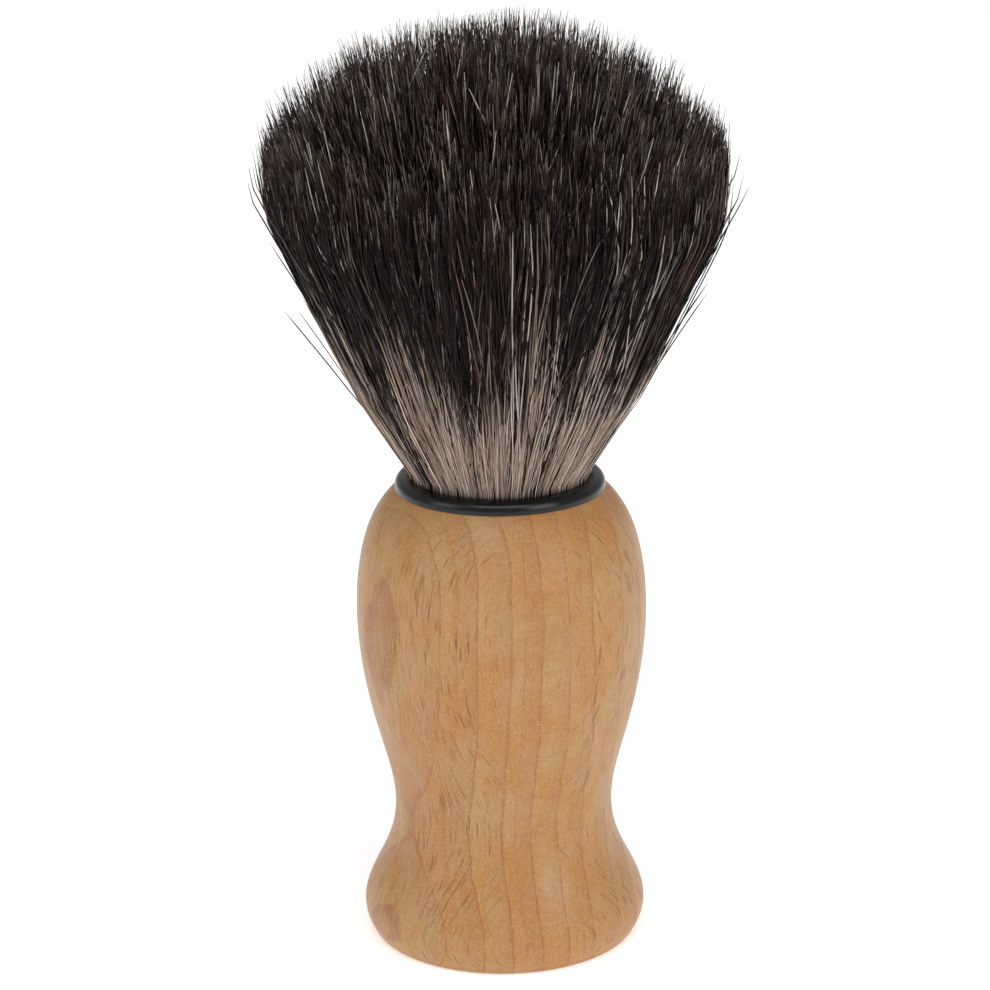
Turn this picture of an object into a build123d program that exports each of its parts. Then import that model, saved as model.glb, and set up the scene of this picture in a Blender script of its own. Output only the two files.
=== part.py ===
from build123d import *
from math import cos, radians, sin
import os

# Shaving brush. Millimetres, +Z up, origin at the centre of the handle's base.

# Handle, turned on the Z axis: (radius, height) of each feature of its outline
base_r = 15.1
base_edge = (16.05, 0.7)
foot = (16.96, 3.9)
foot_fall = (14.5, 10.1)
waist = (13.08, 15.5)
rise = (15.1, 26.4)
belly = (17.25, 40.4)
belly_top = (16.8, 46.9)
shoulder = (14.75, 53.1)
seat_r = 12.3
seat_z = 56.0

# Blind socket bored in the top of the handle
socket_r = 11.5
socket_depth = 18.0
dimple_r = 1.5
dimple_depth = 1.2

# Black collar: a rounded flange on the seat and a skirt down the socket
flange_r = 12.45
flange_height = 1.5
flange_edge_r = 1.2
collar_bore_r = 10.5
collar_lip_r = 0.35
skirt_length = 8.0
groove_width = 1.0
groove_depth = 0.35
groove_pitch = 2.2
groove_count = 3
vent_width = 1.4
vent_count = 4

# Root end of the hair, with its thread binding and resin
root_bottom_z = 43.4
root_r = 9.9
binding_bottom_z = 44.6
binding_turns = 4
thread_diameter = 0.7
binding_r = 9.45
plug_bottom_z = 40.4
plug_r = 11.0
plug_edge = 0.8
glue_top_z = 54.6

# Free hair: the neck flares from the collar, the crown opens to the bloom and a domed top
neck_bottom_r = 10.2
neck_mid = (16.3, 67.0)
neck_top = (19.9, 74.0)
crown_flare = ((22.95, 80.3), (25.9, 86.6))
bloom_r = 27.7
bloom_z = 91.5
top_z = 110.5

socket_floor_z = seat_z - socket_depth
collar_top_z = seat_z + flange_height
skirt_bottom_z = seat_z - skirt_length
binding_top_z = binding_bottom_z + binding_turns * thread_diameter


def turned(outline):
    """Solid of revolution about Z from a closed outline drawn in the XZ plane."""
    return revolve(Plane.XZ * make_face(outline), Axis.Z)


def tube(outer_r, inner_r, bottom, top):
    ring = Circle(outer_r) - Circle(inner_r)
    return extrude(Plane.XY.offset(bottom) * ring, top - bottom)


def rod(radius, bottom, top):
    return extrude(Plane.XY.offset(bottom) * Circle(radius), top - bottom)


def socket_void():
    """The bored hole, with the small cone left by the drill's centre point."""
    bore = rod(socket_r, socket_floor_z, seat_z)
    dimple_outline = Polyline(
        (0, socket_floor_z),
        (dimple_r, socket_floor_z),
        (0, socket_floor_z - dimple_depth),
        close=True,
    )
    return bore + turned(dimple_outline)


def handle():
    outline = Curve() + [
        Line((0, 0), (base_r, 0)),
        TangentArc((base_r, 0), base_edge, tangent=(1, 0)),
        Spline(base_edge, foot, foot_fall, waist, rise, belly, belly_top, shoulder, (seat_r, seat_z)),
        Line((seat_r, seat_z), (0, seat_z)),
        Line((0, seat_z), (0, 0)),
    ]
    return turned(outline) - socket_void()


def collar_ring():
    """Flange and skirt in one, with glue grooves round the skirt and vent slots along it."""
    outer = rod(flange_r, seat_z, collar_top_z)
    outer = fillet(outer.edges().group_by(Axis.Z)[-1], flange_edge_r)
    collar = outer + rod(socket_r, skirt_bottom_z, seat_z) - rod(collar_bore_r, skirt_bottom_z, collar_top_z)
    lip = collar.edges().filter_by(GeomType.CIRCLE).group_by(Axis.Z)[-1].sort_by(SortBy.RADIUS)[0]
    collar = fillet(lip, collar_lip_r)
    floor_r = socket_r - groove_depth
    for n in range(groove_count):
        bottom = skirt_bottom_z + 0.6 * groove_pitch + n * groove_pitch
        collar -= tube(socket_r + 1, floor_r, bottom, bottom + groove_width)
    slot_top = skirt_bottom_z + 0.6 * groove_pitch + (groove_count - 1) * groove_pitch + groove_width
    slot_height = slot_top - skirt_bottom_z
    slot = Pos(floor_r + 1, 0, skirt_bottom_z + slot_height / 2) * Box(2, vent_width, slot_height)
    for spot in PolarLocations(0, vent_count):
        collar -= spot * slot
    return collar


def knot_binding():
    """Turns of waxed thread, drawn into each other: flat against the hair, ribbed outside."""
    half = thread_diameter / 2
    edges = [Line((binding_r, binding_top_z), (binding_r, binding_bottom_z))]
    flat_r = binding_r + half
    edges.append(Line((binding_r, binding_bottom_z), (flat_r, binding_bottom_z)))
    for n in range(binding_turns):
        low = binding_bottom_z + n * thread_diameter
        edges.append(
            ThreePointArc((flat_r, low), (flat_r + half, low + half), (flat_r, low + thread_diameter))
        )
    edges.append(Line((flat_r, binding_top_z), (binding_r, binding_top_z)))
    return turned(Curve() + edges)


def hair_roots(binding):
    """The bundle from its cut root end to the top of the collar, nipped in under the binding."""
    outline = Polyline(
        (0, root_bottom_z),
        (root_r, root_bottom_z),
        (root_r, binding_bottom_z),
        (binding_r, binding_bottom_z),
        (binding_r, binding_top_z),
        (collar_bore_r, skirt_bottom_z),
        (collar_bore_r, collar_top_z - collar_lip_r),
        (neck_bottom_r, collar_top_z),
        (0, collar_top_z),
        close=True,
    )
    return turned(outline) - binding


def knot_plug(roots, binding):
    """Cast resin round the root end, up to the foot of the collar's skirt."""
    body = rod(plug_r, plug_bottom_z, skirt_bottom_z)
    body = chamfer(body.edges().group_by(Axis.Z)[0], plug_edge)
    return body - roots - binding


def socket_glue(fillers):
    """Whatever the knot and collar leave free in the socket, below the glue line."""
    glue = socket_void() & rod(socket_r + 1, socket_floor_z - dimple_depth, glue_top_z)
    for filler in fillers:
        glue -= filler
    return glue


def hair_neck():
    outline = Curve() + [
        Line((0, collar_top_z), (neck_bottom_r, collar_top_z)),
        Spline((neck_bottom_r, collar_top_z), neck_mid, neck_top),
        Line(neck_top, (0, neck_top[1])),
        Line((0, neck_top[1]), (0, collar_top_z)),
    ]
    return turned(outline)


def hair_crown():
    """The bloom, closed by a dome whose section is half an ellipse."""
    dome_angles = [radians(a) for a in (0, 25, 50, 75, 90)]
    dome = [(bloom_r * cos(a), bloom_z + (top_z - bloom_z) * sin(a)) for a in dome_angles]
    outline = Curve() + [
        Line((0, neck_top[1]), neck_top),
        Spline(neck_top, *crown_flare, *dome),
        Line((0, top_z), (0, neck_top[1])),
    ]
    return turned(outline)


def main():
    collar = collar_ring()
    binding = knot_binding()
    roots = hair_roots(binding)
    plug = knot_plug(roots, binding)
    nodes = {
        "handle": handle(),
        "collar_ring": collar,
        "knot_binding": binding,
        "hair_roots": roots,
        "knot_plug": plug,
        "socket_glue": socket_glue([collar, plug, roots, binding]),
        "hair_neck": hair_neck(),
        "hair_crown": hair_crown(),
    }
    os.makedirs("parts", exist_ok=True)
    for name, solid in nodes.items():
        export_step(solid, f"parts/{name}.step")


main()
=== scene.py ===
import math

import bpy
import numpy as np
from mathutils import Euler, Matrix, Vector


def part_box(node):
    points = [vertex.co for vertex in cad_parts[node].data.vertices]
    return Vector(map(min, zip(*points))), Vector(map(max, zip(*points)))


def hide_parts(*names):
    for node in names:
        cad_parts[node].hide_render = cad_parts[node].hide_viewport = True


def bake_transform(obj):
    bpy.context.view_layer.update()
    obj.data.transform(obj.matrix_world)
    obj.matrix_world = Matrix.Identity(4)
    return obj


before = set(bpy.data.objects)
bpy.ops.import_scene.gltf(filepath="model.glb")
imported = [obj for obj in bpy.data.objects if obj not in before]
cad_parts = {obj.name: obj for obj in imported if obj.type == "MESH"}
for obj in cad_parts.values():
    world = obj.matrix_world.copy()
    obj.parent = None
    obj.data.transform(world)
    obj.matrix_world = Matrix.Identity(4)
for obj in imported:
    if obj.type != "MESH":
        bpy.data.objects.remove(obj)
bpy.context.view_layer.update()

MM = 0.001
SEED = 21

# Places read from the frame, in metres
RING_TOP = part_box("collar_ring")[1].z
NECK_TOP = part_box("hair_neck")[1].z
CROWN_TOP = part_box("hair_crown")[1].z
BLOOM_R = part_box("hair_crown")[1].x

# The hair's foot in the collar and the start of its dome
NECK_BOTTOM_R = 0.0102
ROOT_DEPTH = 2.5 * MM
ROOT_Z = RING_TOP - ROOT_DEPTH
DOME_HEIGHT = 19 * MM
BLOOM_Z = CROWN_TOP - DOME_HEIGHT

# Hairs, the bundles they are drawn into and the pieces that they are divided into round the axis
HAIRS = 22000
CLUMPS = 420
TUFTS = 3600
SECTORS = 6
# Points along a hair up to the neck's top and from there on, and the corners of its section
LOW_RINGS = 7
HIGH_RINGS = 9
SIDES = 3
# Colour strips of the hairs' map, and the shares of them for hairs that are pale or dark all along
STRIPS = 256
PALE_STRIPS = 0.08
DARK_STRIPS = 0.08


# ---------------------------------------------------------------- node helpers

class Nodes:
    """Short ways to add and join nodes in one material."""

    def __init__(self, name):
        self.material = bpy.data.materials.new(name)
        self.material.use_nodes = True
        self.tree = self.material.node_tree
        self.shader = self.tree.nodes["Principled BSDF"]

    def add(self, kind, inputs=(), **settings):
        node = self.tree.nodes.new(kind)
        for key, value in settings.items():
            setattr(node, key, value)
        for key, value in dict(inputs).items():
            self.put(node.inputs[key], value)
        return node

    def put(self, socket, value):
        if isinstance(value, bpy.types.NodeSocket):
            self.tree.links.new(value, socket)
        else:
            socket.default_value = value

    def math(self, operation, *values):
        return self.add("ShaderNodeMath", enumerate(values), operation=operation).outputs[0]

    def times(self, a, b):
        return self.math("MULTIPLY", a, b)

    def ramp(self, value, start, rise):
        """start where the value is 0, and higher by rise where it is 1."""
        return self.math("ADD", start, self.times(value, rise))

    def inverse(self, value):
        """1 where the value is 0, and 0 where it is 1."""
        return self.math("SUBTRACT", 1.0, value)

    def step(self, value, low, high):
        """0 below low, 1 above high and smooth between them."""
        inputs = {"Value": value, "From Min": low, "From Max": high}
        return self.add("ShaderNodeMapRange", inputs, interpolation_type="SMOOTHSTEP").outputs[0]

    def vector(self, operation, a, b):
        node = self.add("ShaderNodeVectorMath", {0: a, 1: b}, operation=operation)
        return node.outputs["Value" if operation == "DOT_PRODUCT" else "Vector"]

    def combine(self, x, y, z=0.0):
        return self.add("ShaderNodeCombineXYZ", {0: x, 1: y, 2: z}).outputs[0]

    def split(self, vector):
        return self.add("ShaderNodeSeparateXYZ", {0: vector}).outputs

    def random(self, value):
        """Outputs Value and Color, with a random number and colour for each value."""
        return self.add("ShaderNodeTexWhiteNoise", {"W": value}, noise_dimensions="1D").outputs

    def noise(self, vector, scale, detail=2.0, roughness=0.5, color=False):
        inputs = {"Vector": vector, "Scale": scale, "Detail": detail, "Roughness": roughness}
        return self.add("ShaderNodeTexNoise", inputs).outputs["Color" if color else "Fac"]

    def stretched(self, vector, scales, detail=2.0, roughness=0.5, color=False):
        """Noise with a scale of its own along each axis."""
        return self.noise(self.vector("MULTIPLY", vector, scales), 1.0, detail, roughness, color)

    def mix(self, factor, a, b):
        return self.add("ShaderNodeMix", {0: factor, 6: a, 7: b}, data_type="RGBA").outputs[2]

    def tint(self, color, where, strength, tone):
        """The colour, taken towards the tone in the places that the pattern picks."""
        return self.mix(self.times(where, strength), color, tone)

    def position_mm(self):
        """The place on the part at rest, in millimetres."""
        object_space = self.add("ShaderNodeTexCoord").outputs["Object"]
        return self.vector("MULTIPLY", object_space, (1000, 1000, 1000))

    def hair_map(self):
        return self.add("ShaderNodeUVMap", uv_map="OFBake").outputs[0]

    def surface(self, color, roughness, bump=None, bump_mm=0.0, **fixed):
        self.put(self.shader.inputs["Base Color"], color)
        self.put(self.shader.inputs["Roughness"], roughness)
        if bump is not None:
            node = self.add("ShaderNodeBump", {"Height": bump, "Distance": bump_mm * MM})
            self.tree.links.new(node.outputs[0], self.shader.inputs["Normal"])
        for key, value in fixed.items():
            self.shader.inputs[key.replace("_", " ")].default_value = value
        return self.material


def rgb(red, green, blue):
    """An 8-bit display colour as the linear colour that shaders use."""
    linear = [v / 255 / 12.92 if v <= 10 else ((v / 255 + 0.055) / 1.055) ** 2.4 for v in (red, green, blue)]
    return (*linear, 1.0)


# ---------------------------------------------------------------- wood

# The pith's place in x and y, the width of a growth ring and how far the rings are shifted outwards, mm
PITH = (-48.0, -30.2)
RING_WIDTH = 3.6
RING_SHIFT = -1.6
# How far growth rings wander from a circle, mm
RING_WANDER = 3.0
# Distance from the pith at which angles round it are measured as lengths, mm
RAY_RADIUS = 52.0
# Three kinds of ray: width, height and depth of the cell it stands in, mm, its size in that cell, and an
# offset that keeps the kinds apart
LONG_RAYS = (0.42, 8.0, 9.0, 0.26, 0.0)
MIDDLE_RAYS = (0.33, 5.0, 7.0, 0.28, 9.3)
SHORT_RAYS = (0.26, 3.2, 5.0, 0.33, 4.1)
GRAIN_RELIEF_MM = 0.02


def growth_rings(n, place, radius):
    """Each ring's own shade, the late wood that darkens towards its edge, and the dark lines."""
    wander = n.times(n.noise(n.combine(n.times(radius, 0.30), 0.0), 1.0), RING_WANDER)
    rings = n.math("DIVIDE", n.math("SUBTRACT", n.math("ADD", radius, wander), RING_SHIFT), RING_WIDTH)
    phase = n.math("FRACT", rings)
    year = n.random(n.math("FLOOR", rings))["Value"]
    edge = n.inverse(n.step(phase, 0.975, 1.0))
    late = n.times(n.step(phase, 0.20, 0.95), edge)
    line = n.times(n.step(phase, 0.87, 0.965), edge)
    faint = n.times(n.step(phase, 0.36, 0.46), n.inverse(n.step(phase, 0.46, 0.49)))
    line = n.math("MAXIMUM", line, n.times(faint, n.times(year, 0.5)))
    uneven = n.step(n.stretched(place, (0.6, 0.6, 0.2), 3.0, 0.7), 0.36, 0.64)
    line = n.times(line, n.ramp(uneven, 0.35, 0.65))
    line = n.times(line, n.ramp(n.step(year, 0.2, 0.7), 0.65, 0.35))
    return year, late, line


def ray_cells(n, polar, kind):
    """Thin upright sheets that run out from the pith, as the wood's rays do."""
    across, height, radius = polar
    width, tall, deep, size, offset = kind
    cell = n.combine(
        n.math("DIVIDE", n.math("ADD", across, offset), width),
        n.math("DIVIDE", height, tall),
        n.math("DIVIDE", radius, deep),
    )
    found = n.add("ShaderNodeTexVoronoi", {"Vector": cell, "Scale": 1.0, "Randomness": 1.0})
    inside = n.inverse(n.step(found.outputs["Distance"], size * 0.4, size))
    chance = n.split(found.outputs["Color"])[0]
    return n.times(inside, n.ramp(chance, 0.15, 0.85))


def ray_flecks(n, polar, facing, level):
    """Dark flecks where the rays end: strongest on the flat-sawn sides, weaker where the wood lies level."""
    rays = n.math("MAXIMUM", ray_cells(n, polar, LONG_RAYS), ray_cells(n, polar, MIDDLE_RAYS))
    rays = n.math("MAXIMUM", rays, n.times(ray_cells(n, polar, SHORT_RAYS), 0.85))
    flat_sawn = n.step(facing, 0.12, 0.62)
    rays = n.times(rays, n.ramp(flat_sawn, 0.12, 0.88))
    return n.times(rays, n.inverse(n.times(n.step(level, 0.36, 0.75), 0.6)))


def ray_bands(n, polar, facing):
    """Wider bands where the rays lie open, on the sides that don't face the pith."""
    across, height, radius = polar
    band = n.combine(n.times(across, 0.5), n.times(height, 0.85), n.times(radius, 0.13))
    band = n.step(n.noise(band, 1.0, 3.0, 0.6), 0.50, 0.66)
    return n.times(band, n.inverse(n.step(facing, 0.0, 0.34)))


def beech():
    """Beech under satin lacquer: growth rings about a pith outside the handle, rays and fibre."""
    n = Nodes("lacquered_beech")
    place = n.position_mm()
    warp = n.vector("SUBTRACT", n.stretched(place, (0.09, 0.09, 0.05), 3.0, color=True), (0.5, 0.5, 0.5))
    warped = n.vector("ADD", place, n.vector("MULTIPLY", warp, (2.4, 2.4, 3.0)))
    x, y, height = n.split(warped)
    dx = n.math("SUBTRACT", x, PITH[0])
    dy = n.math("SUBTRACT", y, PITH[1])
    radius = n.math("SQRT", n.math("ADD", n.times(dx, dx), n.times(dy, dy)))
    polar = (n.times(n.math("ARCTAN2", dy, dx), RAY_RADIUS), height, radius)

    # 1 where the surface faces the pith squarely or lies level, 0 where it is at right angles to that
    outward = n.vector("DIVIDE", n.combine(dx, dy), n.combine(radius, radius, 1.0))
    normal = n.add("ShaderNodeTexCoord").outputs["Normal"]
    facing = n.math("ABSOLUTE", n.vector("DOT_PRODUCT", normal, outward))
    level = n.math("ABSOLUTE", n.vector("DOT_PRODUCT", normal, (0.0, 0.0, 1.0)))

    year, late, line = growth_rings(n, place, radius)
    flecks = ray_flecks(n, polar, facing, level)
    bands = ray_bands(n, polar, facing)
    grain = n.stretched(warped, (4.0, 4.0, 0.20), 5.0, 0.75)
    pores = n.stretched(warped, (9.0, 9.0, 0.75), 2.0, 0.7)
    sand = n.noise(place, 3.2, 3.0, 0.75)
    mottle = n.stretched(place, (0.17, 0.17, 0.12), 5.0, 0.68)
    blush = n.stretched(warped, (0.14, 0.14, 0.08), 3.0, 0.6)

    color = n.mix(n.step(mottle, 0.38, 0.60), rgb(178, 141, 91), rgb(178, 124, 60))
    color = n.tint(color, n.step(blush, 0.48, 0.66), 0.4, rgb(187, 143, 110))
    color = n.tint(color, year, 0.22, rgb(168, 120, 76))
    color = n.tint(color, late, 0.30, rgb(156, 108, 74))
    color = n.tint(color, line, 0.8, rgb(150, 82, 36))
    color = n.tint(color, n.step(grain, 0.44, 0.66), 0.30, rgb(150, 99, 56))
    color = n.tint(color, n.step(pores, 0.54, 0.70), 0.36, rgb(134, 84, 48))
    color = n.tint(color, n.step(sand, 0.45, 0.65), 0.26, rgb(212, 172, 122))
    color = n.tint(color, flecks, 0.85, rgb(114, 62, 32))
    color = n.tint(color, bands, 0.34, rgb(158, 102, 64))
    relief = n.math("ADD", n.times(flecks, -0.6), n.times(grain, 0.5))
    lacquer = {"Specular_IOR_Level": 0.3, "Coat_Weight": 0.20, "Coat_Roughness": 0.3}
    return n.surface(color, n.ramp(grain, 0.38, 0.16), relief, GRAIN_RELIEF_MM, **lacquer)


# ---------------------------------------------------------------- other materials

def moulded(name, color, roughness, texture_mm=0.02, gloss=0.5):
    """A moulded or cast mass, or roots set in one: faint flow marks and a fine texture."""
    n = Nodes(name)
    place = n.position_mm()
    flow = n.stretched(place, (0.4, 0.4, 1.2))
    fine = n.noise(place, 9.0, 3.0, 0.7)
    lighter = tuple(min(1.0, c * 1.35 + 0.004) for c in color[:3]) + (1.0,)
    mixed = n.mix(n.step(flow, 0.35, 0.7), color, lighter)
    return n.surface(mixed, n.ramp(fine, roughness, 0.1), fine, texture_mm, Specular_IOR_Level=gloss)


def thread():
    """Waxed thread: fine twist across each turn."""
    n = Nodes("waxed_thread")
    place = n.position_mm()
    x, y, height = n.split(place)
    around = n.times(n.math("ARCTAN2", y, x), 60.0)
    twist = n.math("SINE", n.math("ADD", around, n.times(height, 9.0)))
    fuzz = n.noise(place, 12.0, 3.0)
    color = n.mix(n.step(twist, -0.6, 0.8), rgb(176, 160, 128), rgb(214, 202, 176))
    color = n.tint(color, fuzz, 0.3, rgb(150, 130, 96))
    return n.surface(color, 0.6, twist, 0.06)


def hair():
    """Hair colour from its own map: the strip across tells the hair, the height along it the place."""
    n = Nodes("hair")
    across, along, _ = n.split(n.hair_map())
    strip = n.math("FLOOR", n.times(across, STRIPS))
    chances = n.random(strip)
    chance = chances["Value"]
    hue, _, light = n.split(chances["Color"])
    tip_chance = n.random(n.math("ADD", strip, 0.5))["Value"]
    share = n.math("DIVIDE", strip, STRIPS)
    pale = n.math("LESS_THAN", share, PALE_STRIPS)
    dark = n.times(n.math("LESS_THAN", share, PALE_STRIPS + DARK_STRIPS), n.inverse(pale))
    patch = n.noise(n.combine(n.times(strip, 7.31), n.times(along, 9.0)), 1.0, 2.0, 0.6)

    root = n.mix(hue, rgb(226, 204, 182), rgb(182, 170, 163))
    root = n.tint(root, n.math("POWER", light, 2.0), 0.75, rgb(118, 84, 68))
    body = n.mix(n.math("POWER", chance, 2.0), rgb(12, 10, 10), rgb(60, 43, 37))
    pale_body = n.mix(hue, rgb(136, 106, 80), rgb(128, 124, 122))
    body = n.tint(body, n.step(light, 0.86, 0.92), n.step(patch, 0.35, 0.55), pale_body)
    tip = n.mix(hue, rgb(84, 60, 44), rgb(82, 78, 78))
    tip = n.mix(n.step(tip_chance, 0.55, 0.9), body, tip)

    # From pale root to dark body at a height set by the strip, then the tip and its bleached end
    start = n.ramp(n.math("POWER", share, 1.3), 0.175, 0.50)
    color = n.mix(n.step(n.math("SUBTRACT", along, start), -0.12, 0.13), root, body)
    color = n.mix(n.step(along, n.ramp(hue, 0.90, 0.07), 1.0), color, tip)
    ends = n.times(n.step(along, 0.955, 0.99), n.step(chance, 0.3, 0.7))
    color = n.tint(color, ends, 0.42, rgb(132, 124, 118))

    # Hairs dark or pale all along, dark patches, and painted shade where the hair leaves the collar
    color = n.mix(dark, color, n.mix(hue, rgb(24, 18, 18), rgb(54, 39, 34)))
    pale_color = n.mix(hue, rgb(206, 190, 168), rgb(176, 172, 168))
    color = n.tint(color, pale, n.step(patch, 0.34, 0.5), pale_color)
    color = n.tint(color, n.step(patch, 0.5, 0.8), 0.3, rgb(26, 19, 18))
    # Painted shade: the hair's first stretch above the collar is darkened to stand in for the collar's shadow
    color = n.tint(color, n.inverse(n.step(along, 0.045, 0.085)), 0.62, rgb(16, 13, 12))
    return n.surface(color, 0.5, Specular_IOR_Level=0.12)


def packed_hair():
    """The mass of hair under the outer hairs: streaks that run up it, pale at the foot and dark above."""
    n = Nodes("packed_hair")
    uv = n.hair_map()
    fine = n.stretched(uv, (300.0, 5.0, 0.0), 3.0, 0.7)
    broad = n.stretched(uv, (60.0, 2.0, 0.0), 3.0, 0.7)
    height = n.split(uv)[1]
    turn = n.math("ADD", height, n.times(n.math("SUBTRACT", broad, 0.5), 0.9))
    streak = n.step(fine, 0.35, 0.65)
    pale = n.mix(streak, rgb(164, 143, 128), rgb(214, 192, 170))
    dark = n.mix(streak, rgb(16, 13, 12), rgb(44, 34, 30))
    return n.surface(n.mix(n.step(turn, 0.26, 0.56), pale, dark), 0.6, fine, 0.1, Specular_IOR_Level=0.1)


# ---------------------------------------------------------------- outline of the hair

# The outline without its dome: heights, from millimetres above the collar, and the radius at each
OUTLINE_HEIGHTS = np.array([0.0, 9.5, 16.5, 22.5, 29.0, 34.0, 55.0]) * MM + RING_TOP
OUTLINE_RADII = np.array([NECK_BOTTOM_R / MM, 16.1, 19.4, 22.2, 25.35, 27.5, 36.2]) * MM
DOME_ROUNDS = 30


def envelope(z):
    """How far out the outermost hairs would be at height z, if the dome didn't end them."""
    return np.interp(z, OUTLINE_HEIGHTS, OUTLINE_RADII)


def dome_height(rho):
    """Height at which a hair of the given share of the radius reaches the domed top."""
    share = np.zeros_like(rho)
    for _ in range(DOME_ROUNDS):
        reach = rho * envelope(BLOOM_Z + share * (CROWN_TOP - BLOOM_Z)) / BLOOM_R
        share = 0.5 * share + 0.5 * np.sqrt(np.maximum(0, 1 - reach**2))
    return BLOOM_Z + share * (CROWN_TOP - BLOOM_Z)


# The limit that holds hairs in: how much it varies from hair to hair, and its share of the bloom's radius
LOOSENESS = 0.016
HELD_BLOOM = 0.952
# The share of the limit from which a hair is drawn back, how far past that it still gets, and how softly
HELD_FROM = 0.96
HELD_GIVE = 0.035
HELD_SOFTNESS = 0.06


def held_in(rng, radius, reach):
    """Factor that draws the hairs outside the knot's outline back to it, each by its own amount."""
    loose = 1 + rng.normal(0, LOOSENESS, (len(radius), 1))
    limit = np.minimum(reach, HELD_BLOOM * BLOOM_R + 0.2 * (reach - BLOOM_R)) * loose
    over = np.maximum(radius / limit - HELD_FROM, 0)
    held = np.minimum(radius / limit, HELD_FROM) + HELD_GIVE * np.tanh(over / HELD_SOFTNESS)
    return held * limit / np.maximum(radius, 1e-9)


# ---------------------------------------------------------------- paths of the hairs

# The share of hairs moved to the outer zone, and where that zone begins as a share of the radius
OUTER_SHARE = 0.38
OUTER_FROM = 0.80

# How unevenly single hairs, tufts and clumps end about the dome, mm
HAIR_UNEVEN = 0.28
TUFT_UNEVEN = 0.6
CLUMP_UNEVEN = 0.3
# How far all tips are set down, and the most that one still stands up after that, mm
TIPS_DOWN = 0.35
MOST_PROUD = 0.9
# Tufts and single hairs that end early: their share, and how much shorter they are in the mean, mm
EARLY_TUFTS = 0.36
TUFT_CUT = 5.5
EARLY_HAIRS = 0.22
HAIR_CUT = 6.0
OTHER_CUT = 0.4
LARGEST_CUT = 24
# The lowest tips are between these heights above the neck's top, mm
LOWEST_TIPS = (3, 12)

# How far hairs are drawn to the middle of their clump and of their tuft, as a share of the way there
CLUMP_PULL = (0.0, 0.55)
TUFT_PULL = (0.45, 1.0)
# How far hairs stray from their place at the root and at the tip, as a share of the radius
ROOT_MIX = 0.09
TIP_MIX = 0.025

# Waves along the hairs: how many half waves, and their size in mm
CLUMP_WAVE = (1.2, 0.6)
TUFT_WAVE = (2.0, 0.7)
HAIR_WAVES = ((2.2, 0.36), (5.0, 0.20))
# The share of wild hairs, and how much larger their waves are
WILD_SHARE = 0.22
WILD_MORE = 2.4
# The dome leans this far to the left, mm, from a little below the bloom up
LEAN = 0.4
LEAN_START = BLOOM_Z - 3 * MM
LEAN_HEIGHT = 12 * MM

# Hairs that stand away: direction in degrees, height where they leave, height of the tip, distance out, mm
STRAYS = ((184, 62, 77, 4.2), (187, 64, 79, 2.0), (-5, 63, 80, 2.2), (1, 65, 81, 1.7), (178, 70, 88, 1.2))
# More of them at random: how many, where they leave, how much higher they end and how far out, mm
LOOSE_STRAYS = 90
STRAY_LEAVE = (62, 84)
STRAY_RISE = (8, 20)
STRAY_OUT = (0.2, 1.3)
# The highest that any of these tips may be, mm, and how far such hairs turn round the axis, in radians
STRAY_TOP = 94
STRAY_TURN = 0.12


def random_disk(rng, count):
    """Points spread evenly over the unit disk."""
    rho = np.sqrt(rng.uniform(0, 1, count))
    phi = rng.uniform(0, 2 * np.pi, count)
    return np.stack([rho * np.cos(phi), rho * np.sin(phi)], 1)


def hair_places(rng, count):
    """Each hair's place in the unit disk, with a share of them moved to the outer zone."""
    disk = random_disk(rng, count)
    rho = np.linalg.norm(disk, axis=1)
    outer = rng.uniform(0, 1, count) < OUTER_SHARE
    pushed = np.sqrt(rng.uniform(OUTER_FROM**2, 1, count))
    return disk * np.where(outer, pushed / rho, 1)[:, None]


class Bundles:
    """Hairs drawn together: each hair belongs to the nearest bundle of its kind."""

    def __init__(self, rng, disk, count):
        self.count = count
        self.centres = random_disk(rng, count)
        self.member = np.array([np.argmin(((self.centres - d) ** 2).sum(1)) for d in disk])
        self.offset = self.centres[self.member] - disk

    def each(self, values):
        return values[self.member]


def tip_heights(rng, rho, clumps, tufts):
    """The domed top, a little uneven, with some tufts and some single hairs that end early."""
    count = len(rho)
    uneven = rng.normal(0, HAIR_UNEVEN, count) + tufts.each(rng.normal(0, TUFT_UNEVEN, tufts.count))
    uneven += clumps.each(rng.normal(0, CLUMP_UNEVEN, clumps.count))
    uneven = np.minimum(uneven - TIPS_DOWN, MOST_PROUD) + (1 - rho**2)
    tuft_cut = rng.exponential(TUFT_CUT, tufts.count) * (rng.uniform(0, 1, tufts.count) < EARLY_TUFTS)
    hair_cut = rng.exponential(np.where(rng.uniform(0, 1, count) < EARLY_HAIRS, HAIR_CUT, OTHER_CUT))
    tip = dome_height(rho) + (uneven - np.minimum(tufts.each(tuft_cut) + hair_cut, LARGEST_CUT)) * MM
    return np.maximum(tip, NECK_TOP + rng.uniform(*LOWEST_TIPS, count) * MM)


def point_heights(tip):
    """Heights of each hair's points, up to the neck's top and from there to its own tip."""
    low = np.linspace(0, 1, LOW_RINGS)[None, :]
    high = np.linspace(0, 1, HIGH_RINGS)[None, 1:]
    z_low = np.repeat(ROOT_Z + (NECK_TOP - ROOT_Z) * low, len(tip), 0)
    z_high = NECK_TOP + (tip[:, None] - NECK_TOP) * high
    return np.concatenate([z_low, z_high], 1)


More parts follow.
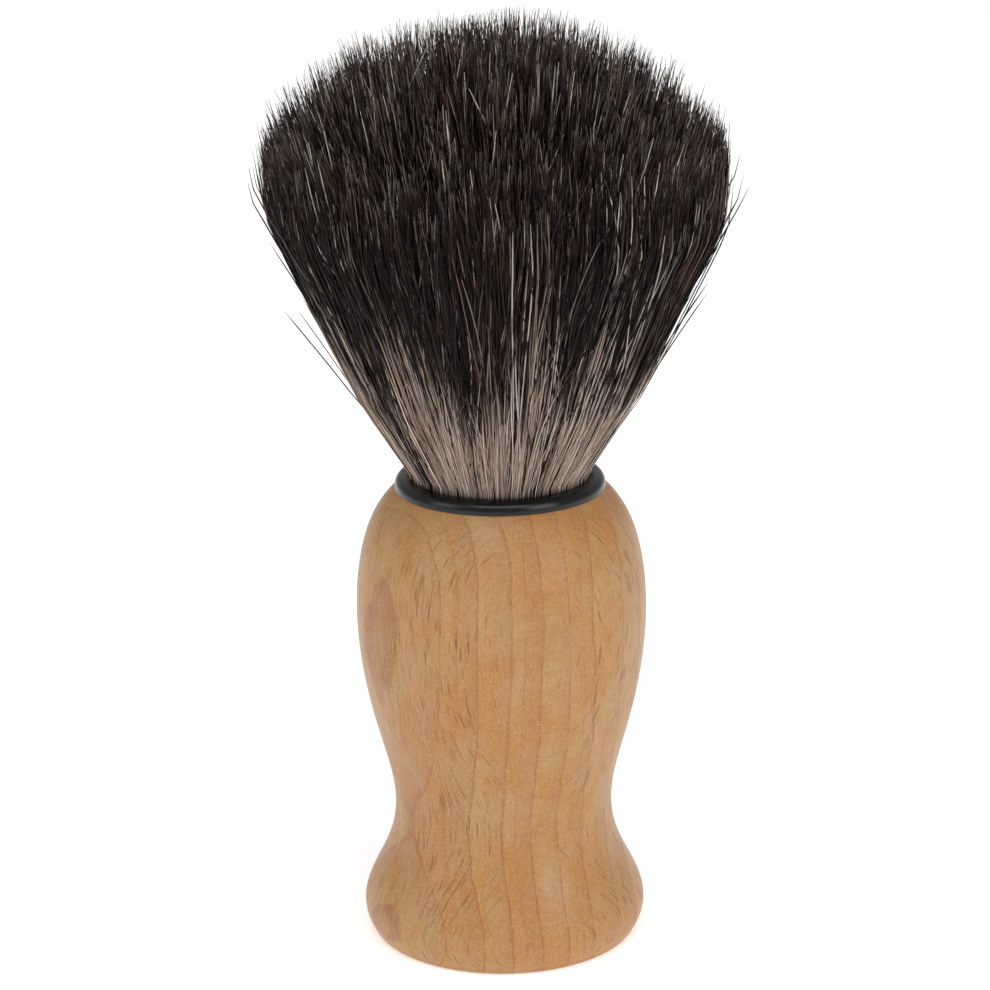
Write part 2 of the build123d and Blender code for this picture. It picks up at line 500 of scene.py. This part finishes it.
def drawn_together(rng, disk, t, clumps, tufts):
    """Places in the unit disk along each hair, drawn to its clump and, higher up, to its tuft."""
    shape = (len(disk), 1, 2)
    clump_pull = clumps.each(rng.uniform(*CLUMP_PULL, clumps.count))[:, None] * np.clip(t * 3, 0, 1)
    tuft_pull = tufts.each(rng.uniform(*TUFT_PULL, tufts.count))[:, None] * t**1.5
    root_mix = rng.normal(0, ROOT_MIX, shape) * (1 - t[:, :, None])
    tip_mix = rng.normal(0, TIP_MIX, shape) * t[:, :, None]
    places = disk[:, None, :] + root_mix + tip_mix + clumps.offset[:, None, :] * clump_pull[:, :, None]
    return places + tufts.offset[:, None, :] * tuft_pull[:, :, None]


def wave(rng, groups, member, t, half_waves):
    """A smooth random sideways path for each group, in x and y, that starts at zero with t."""
    phase = rng.uniform(0, 2 * np.pi, (groups, 2))[member][:, None, :]
    size = rng.normal(0, 1, (groups, 2))[member][:, None, :]
    return size * (np.sin(half_waves * np.pi * t[:, :, None] + phase) - np.sin(phase))


def add_waves(rng, xy, t, clumps, tufts):
    """Bends the hairs sideways by clump, by tuft and each on its own."""
    count = len(xy)
    free = np.clip(t * 4, 0, 1)[:, :, None]
    wild = 1 + WILD_MORE * (rng.uniform(0, 1, count) < WILD_SHARE)[:, None, None]
    for bundles, (half_waves, size) in ((clumps, CLUMP_WAVE), (tufts, TUFT_WAVE)):
        xy += wave(rng, bundles.count, bundles.member, t, half_waves) * size * MM * t[:, :, None]
    for half_waves, size in HAIR_WAVES:
        xy += wave(rng, count, np.arange(count), t, half_waves) * size * MM * wild * free


def add_strays(rng, paths, disk):
    """Turns the first hairs into ones that stand away from the side of the knot."""
    chosen = [*STRAYS]
    for _ in range(LOOSE_STRAYS):
        leave = rng.uniform(*STRAY_LEAVE)
        chosen.append((rng.uniform(0, 360), leave, leave + rng.uniform(*STRAY_RISE), rng.uniform(*STRAY_OUT)))
    z_low = np.linspace(ROOT_Z, NECK_TOP, LOW_RINGS)
    for k, (degrees, leave, tip, beyond) in enumerate(chosen):
        angle = math.radians(degrees)
        tip = min(tip, STRAY_TOP)
        z = np.concatenate([z_low, np.linspace(NECK_TOP, tip * MM, HIGH_RINGS)[1:]])
        away = np.clip((z / MM - leave) / (tip - leave), 0, 1) ** 1.5
        radius = np.minimum(envelope(z), BLOOM_R) + beyond * MM * away
        turned = angle + rng.normal(0, STRAY_TURN) * away
        disk[k] = np.cos(angle), np.sin(angle)
        paths[k] = np.stack([radius * np.cos(turned), radius * np.sin(turned), z], 1)


def hair_paths(rng, count):
    """Centre lines of all hairs, (hair, point, xyz), from inside the collar to the domed top."""
    disk = hair_places(rng, count)
    clumps = Bundles(rng, disk, CLUMPS)
    tufts = Bundles(rng, disk, TUFTS)
    z = point_heights(tip_heights(rng, np.linalg.norm(disk, axis=1), clumps, tufts))
    t = (z - ROOT_Z) / (CROWN_TOP - ROOT_Z)
    reach = envelope(z)
    xy = drawn_together(rng, disk, t, clumps, tufts) * reach[:, :, None]
    add_waves(rng, xy, t, clumps, tufts)
    xy *= held_in(rng, np.linalg.norm(xy, axis=2), reach)[:, :, None]
    xy[:, :, 0] -= LEAN * MM * np.clip((z - LEAN_START) / LEAN_HEIGHT, 0, 1)
    paths = np.concatenate([xy, z[:, :, None]], 2)
    add_strays(rng, paths, disk)
    return paths, disk, clumps, tufts


# ---------------------------------------------------------------- hairs as meshes

# A hair's radius before its taper, mm, and how many times wider the pale ones are
HAIR_RADIUS = (0.060, 0.105)
PALE_WIDER = 1.25
# Its taper: heights up the map, and the share of the radius there
TAPER_AT = (0, 0.3, 0.6, 0.90, 0.99)
TAPER = (0.68, 0.78, 1.05, 1.05, 0.26)
# Where the hairs begin in the height of the map, and how much of it they fill
MAP_START = 0.01
MAP_SPAN = 0.98
# A direction that no hair follows
ASKEW = (0.37, 0.93, 0.05)
# Radians through which the sections turn from the first hair to the last
SECTION_TURN = 5

# What a hair's colour comes from: its clump, then itself or its tuft
CLUMP_WEIGHT = 0.75
OWN_WEIGHT = 0.5
WEIGHT_SHIFT = 0.12
LIKE_TUFT = 0.6
# Hairs dark all along: share of the clumps, share of the hairs in those, and share of all hairs
DARK_CLUMPS = 0.10
DARK_IN_CLUMP = 0.85
DARK_ALONE = 0.05
# Hairs are pale all along above this chance
PALE_ABOVE = 0.965
BELOW_ONE = 0.999


def choose_strips(rng, count, clumps, tufts):
    """Each hair's colour strip: some pale or dark all along, the rest dark from a height set by the strip."""
    special_end = PALE_STRIPS + DARK_STRIPS
    shared = clumps.each(rng.uniform(0, 1, clumps.count))
    own = rng.uniform(0, 1, count)
    like_tuft = rng.uniform(0, 1, count) < LIKE_TUFT
    own = np.where(like_tuft, tufts.each(rng.uniform(0, 1, tufts.count)), own)
    value = np.clip(shared * CLUMP_WEIGHT + own * OWN_WEIGHT - WEIGHT_SHIFT, 0, BELOW_ONE)
    share = special_end + (1 - special_end) * value
    special = rng.uniform(0, 1, count)
    any_dark = PALE_STRIPS + DARK_STRIPS * rng.uniform(0, BELOW_ONE, count)
    dark_clump = clumps.each(rng.uniform(0, 1, clumps.count) < DARK_CLUMPS)
    share = np.where(dark_clump & (special < DARK_IN_CLUMP), any_dark, share)
    share = np.where(special < DARK_ALONE, any_dark, share)
    share = np.where(special > PALE_ABOVE, PALE_STRIPS * rng.uniform(0, BELOW_ONE, count), share)
    return (share * STRIPS).astype(int)


def strand_frames(points):
    """Two unit vectors across each hair at each point."""
    along = np.gradient(points, axis=1)
    along /= np.linalg.norm(along, axis=2, keepdims=True)
    side = np.cross(along, np.array(ASKEW))
    side /= np.linalg.norm(side, axis=2, keepdims=True)
    return side, np.cross(along, side)


def rims(points, radii):
    """The corners of each hair's three-sided section at each of its points."""
    side_a, side_b = strand_frames(points)
    angles = np.arange(SIDES) * 2 * np.pi / SIDES
    turn = np.linspace(0, SECTION_TURN, len(points))[:, None, None]
    c, s = np.cos(angles + turn)[..., None], np.sin(angles + turn)[..., None]
    return points[:, :, None, :] + radii[:, :, None, None] * (
        side_a[:, :, None, :] * c + side_b[:, :, None, :] * s
    )


def quad_map(u_low, u_high, v_low, v_high, shape):
    """Map coordinates of quads whose corners run low-low, high-low, high-high and low-high."""
    uv = np.empty((*shape, 4, 2))
    uv[..., 0, 0] = uv[..., 3, 0] = u_low
    uv[..., 1, 0] = uv[..., 2, 0] = u_high
    uv[..., 0, 1] = uv[..., 1, 1] = v_low
    uv[..., 2, 1] = uv[..., 3, 1] = v_high
    return uv.reshape(-1, 2)


def tubes(rim, strips, v):
    """Vertices, faces and map coordinates of closed tubes through the given corners."""
    count, rings = rim.shape[:2]
    index = np.arange(count * rings * SIDES).reshape(count, rings, SIDES)
    following = np.roll(index, -1, axis=2)
    quads = np.stack([index[:, :-1], following[:, :-1], following[:, 1:], index[:, 1:]], 3).reshape(-1, 4)
    caps = np.concatenate([index[:, 0, ::-1], index[:, -1]], 0)

    u_mid = (strips + 0.5) / STRIPS
    half = 0.2 / STRIPS
    u_low, u_high = (u_mid - half)[:, None, None], (u_mid + half)[:, None, None]
    quad_uv = quad_map(u_low, u_high, v[:, :-1, None], v[:, 1:, None], (count, rings - 1, SIDES))
    cap_uv = np.empty((2, count, SIDES, 2))
    cap_uv[..., 0] = u_mid[None, :, None]
    cap_uv[0, ..., 1] = v[:, 0, None]
    cap_uv[1, ..., 1] = v[:, -1, None]
    return rim.reshape(-1, 3), quads, caps, np.concatenate([quad_uv, cap_uv.reshape(-1, 2)])


def mesh_object(name, vertices, quads, caps, uv, material):
    """A closed mesh of smooth quads and flat caps, with its map."""
    mesh = bpy.data.meshes.new(name)
    mesh.vertices.add(len(vertices))
    mesh.vertices.foreach_set("co", vertices.astype(np.float32).ravel())
    corners = np.concatenate([quads.ravel(), caps.ravel()])
    mesh.loops.add(len(corners))
    mesh.loops.foreach_set("vertex_index", corners.astype(np.int32))
    quad_starts = np.arange(len(quads)) * 4
    cap_starts = len(quads) * 4 + np.arange(len(caps)) * caps.shape[1]
    faces = len(quads) + len(caps)
    mesh.polygons.add(faces)
    mesh.polygons.foreach_set("loop_start", np.concatenate([quad_starts, cap_starts]).astype(np.int32))
    mesh.polygons.foreach_set("use_smooth", np.arange(faces) < len(quads))
    layer = mesh.uv_layers.new(name="OFBake")
    layer.data.foreach_set("uv", uv.astype(np.float32).ravel())
    mesh.update(calc_edges=True)
    mesh.validate()
    mesh.materials.append(material)
    obj = bpy.data.objects.new(name, mesh)
    bpy.context.scene.collection.objects.link(obj)
    return obj


def bond_hair(obj, half):
    """Bakes the half's transform and hides the CAD part it replaces: hair_neck for the low half, hair_crown
    for the high.
    """
    if half == "low":
        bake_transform(obj)
        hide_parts("hair_neck")
    else:
        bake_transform(obj)
        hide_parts("hair_crown")


def build_hair(material):
    """All hairs, in sectors round the axis that are each cut at the neck's top."""
    rng = np.random.default_rng(SEED)
    points, disk, clumps, tufts = hair_paths(rng, HAIRS)
    lengths = np.linalg.norm(np.diff(points, axis=1), axis=2).cumsum(1)
    along = np.concatenate([np.zeros((HAIRS, 1)), lengths], 1)
    v = along / along[:, -1:] * MAP_SPAN + MAP_START
    radius = rng.uniform(*HAIR_RADIUS, HAIRS)[:, None] * MM
    strips = choose_strips(rng, HAIRS, clumps, tufts)
    radius *= np.where(strips < PALE_STRIPS * STRIPS, PALE_WIDER, 1)[:, None]
    rim = rims(points, radius * np.interp(v, TAPER_AT, TAPER))
    angle = np.arctan2(disk[:, 1], disk[:, 0])
    sector = np.floor(angle / (2 * np.pi) * SECTORS).astype(int) % SECTORS
    for k in range(SECTORS):
        chosen = sector == k
        for half, cut in (("low", slice(0, LOW_RINGS)), ("high", slice(LOW_RINGS - 1, None))):
            made = tubes(rim[chosen][:, cut], strips[chosen], v[chosen][:, cut])
            bond_hair(mesh_object(f"hair_{half}_{k + 1}", *made, material), half)


# ---------------------------------------------------------------- core of the hair

# The core's radius as a share of the hair's, at its foot and from the neck's top up
CORE_SHARE = (0.965, 0.93)
CORE_TOP = BLOOM_Z + 1 * MM
CORE_RINGS = 24
CORE_SIDES = 180
# Ripples round the core: how many of them, the waves in the first and how many more in each next, their
# size as a share of the radius, and the height over which they grow
RIPPLES = 5
FIRST_RIPPLE = 7
MORE_WAVES = 6
RIPPLE_SIZE = 0.006
RIPPLE_GROWTH = 8 * MM
# The high core narrows by this share to its top, from this far above the neck's top
NARROWING = 0.35
NARROW_FROM = 8 * MM


def core_radius(z, ripple, narrows):
    """The core's radius at each height and direction."""
    share = np.interp(z, [ROOT_Z, NECK_TOP], CORE_SHARE)[:, None]
    share = share + RIPPLE_SIZE * ripple[None, :] * np.clip((z[:, None] - RING_TOP) / RIPPLE_GROWTH, 0, 1)
    radius = np.minimum(envelope(z), BLOOM_R)[:, None] * share
    if narrows:
        rise = np.clip((z - NECK_TOP - NARROW_FROM) / (CORE_TOP - NECK_TOP - NARROW_FROM), 0, 1)
        radius *= (1 - NARROWING * rise**2)[:, None]
    return radius


def closed_tube(rings, v):
    """Vertices, faces and map coordinates of one closed tube through the given rings."""
    rows, sides = rings.shape[:2]
    grid = np.arange(rows * sides).reshape(rows, sides)
    following = np.roll(grid, -1, axis=1)
    quads = np.stack([grid[:-1], following[:-1], following[1:], grid[1:]], 2).reshape(-1, 4)
    caps = np.stack([grid[0, ::-1], grid[-1]])
    u = np.arange(sides + 1) / sides
    quad_uv = quad_map(u[None, :-1], u[None, 1:], v[:-1, None], v[1:, None], (rows - 1, sides))
    cap_uv = np.stack([np.tile(u[:-1], 2), np.repeat(v[[0, -1]], sides)], 1)
    return rings.reshape(-1, 3), quads, caps, np.concatenate([quad_uv, cap_uv])


def build_core(material):
    """Closed, slightly uneven solids inside the outer hairs, one below the neck's top and one above."""
    rng = np.random.default_rng(SEED + 1)
    phi = np.arange(CORE_SIDES) * 2 * np.pi / CORE_SIDES
    ripples = rng.normal(0, 1, (RIPPLES, 2))
    ripple = sum(a * np.sin((FIRST_RIPPLE + MORE_WAVES * k) * phi + b) for k, (a, b) in enumerate(ripples))
    for half, bottom, top in (("low", ROOT_Z, NECK_TOP), ("high", NECK_TOP, CORE_TOP)):
        z = np.linspace(bottom, top, CORE_RINGS)
        radius = core_radius(z, ripple, half == "high")
        height = np.repeat(z[:, None], CORE_SIDES, 1)
        rings = np.stack([radius * np.cos(phi), radius * np.sin(phi), height], 2)
        made = closed_tube(rings, (z - ROOT_Z) / (CORE_TOP - ROOT_Z))
        bond_hair(mesh_object(f"hair_core_{half}", *made, material), half)


# ---------------------------------------------------------------- stage

def look_from(place, target):
    """The turn that points a light or camera at that place towards the target."""
    return (Vector(target) - Vector(place)).to_track_quat("-Z", "Y")


def softbox(name, place, size, watts):
    """A soft rectangular light that faces the middle of the brush."""
    light = bpy.data.lights.new(name, "AREA")
    light.shape = "RECTANGLE"
    light.size, light.size_y = size
    light.energy = watts
    obj = bpy.data.objects.new(name, light)
    obj.location = place
    obj.rotation_euler = look_from(place, (0, 0, 0.06)).to_euler()
    bpy.context.scene.collection.objects.link(obj)


def lights():
    world = bpy.data.worlds.new("studio")
    world.use_nodes = True
    world.node_tree.nodes["Background"].inputs["Color"].default_value = (1, 1, 1, 1)
    world.node_tree.nodes["Background"].inputs["Strength"].default_value = 0.39
    bpy.context.scene.world = world
    softbox("softbox_left", (-0.9, -0.40, 0.50), (0.5, 0.7), 1.7)
    softbox("softbox_right", (0.68, -0.62, 0.50), (0.5, 0.7), 2.8)
    softbox("softbox_top", (0.0, -0.4, 1.05), (0.9, 0.9), 5.7)
    bpy.context.scene.view_settings.view_transform = "Standard"


def floor():
    """A pale floor that glows a little, so that it stays even."""
    bpy.ops.mesh.primitive_plane_add(size=8, location=(0, 0, 0))
    plane = bpy.context.object
    plane.name = "floor"
    n = Nodes("pale_floor")
    glow = {"Emission_Color": (1, 1, 1, 1), "Emission_Strength": 0.46}
    plane.data.materials.append(n.surface((0.93, 0.93, 0.93, 1), 0.7, Specular_IOR_Level=0.1, **glow))


def camera():
    """In front of the brush and above it, looking down at its middle."""
    data = bpy.data.cameras.new("camera")
    data.sensor_width = 36
    data.lens = 129.0
    data.dof.use_dof = False
    obj = bpy.data.objects.new("camera", data)
    obj.location = (0, -0.400, 0.1792)
    roll = Euler((0, 0, math.radians(-0.66))).to_quaternion()
    obj.rotation_mode = "QUATERNION"
    obj.rotation_quaternion = look_from(obj.location, (-0.00062, 0, 0.05469)) @ roll
    bpy.context.scene.collection.objects.link(obj)
    bpy.context.scene.camera = obj


# ---------------------------------------------------------------- scene

def dress(node, material):
    """Puts the material in each slot of a CAD node."""
    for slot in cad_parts[node].material_slots:
        slot.material = material


camera()
floor()
lights()
hair_material = hair()
dress("handle", beech())
dress("collar_ring", moulded("black_collar", rgb(8, 8, 11), 0.17, 0.004, 0.36))
dress("knot_plug", moulded("cast_resin", rgb(196, 158, 92), 0.3))
dress("socket_glue", moulded("adhesive", rgb(214, 198, 160), 0.4))
dress("knot_binding", thread())
dress("hair_roots", moulded("packed_roots", rgb(70, 58, 48), 0.6))
build_hair(hair_material)
build_core(packed_hair())
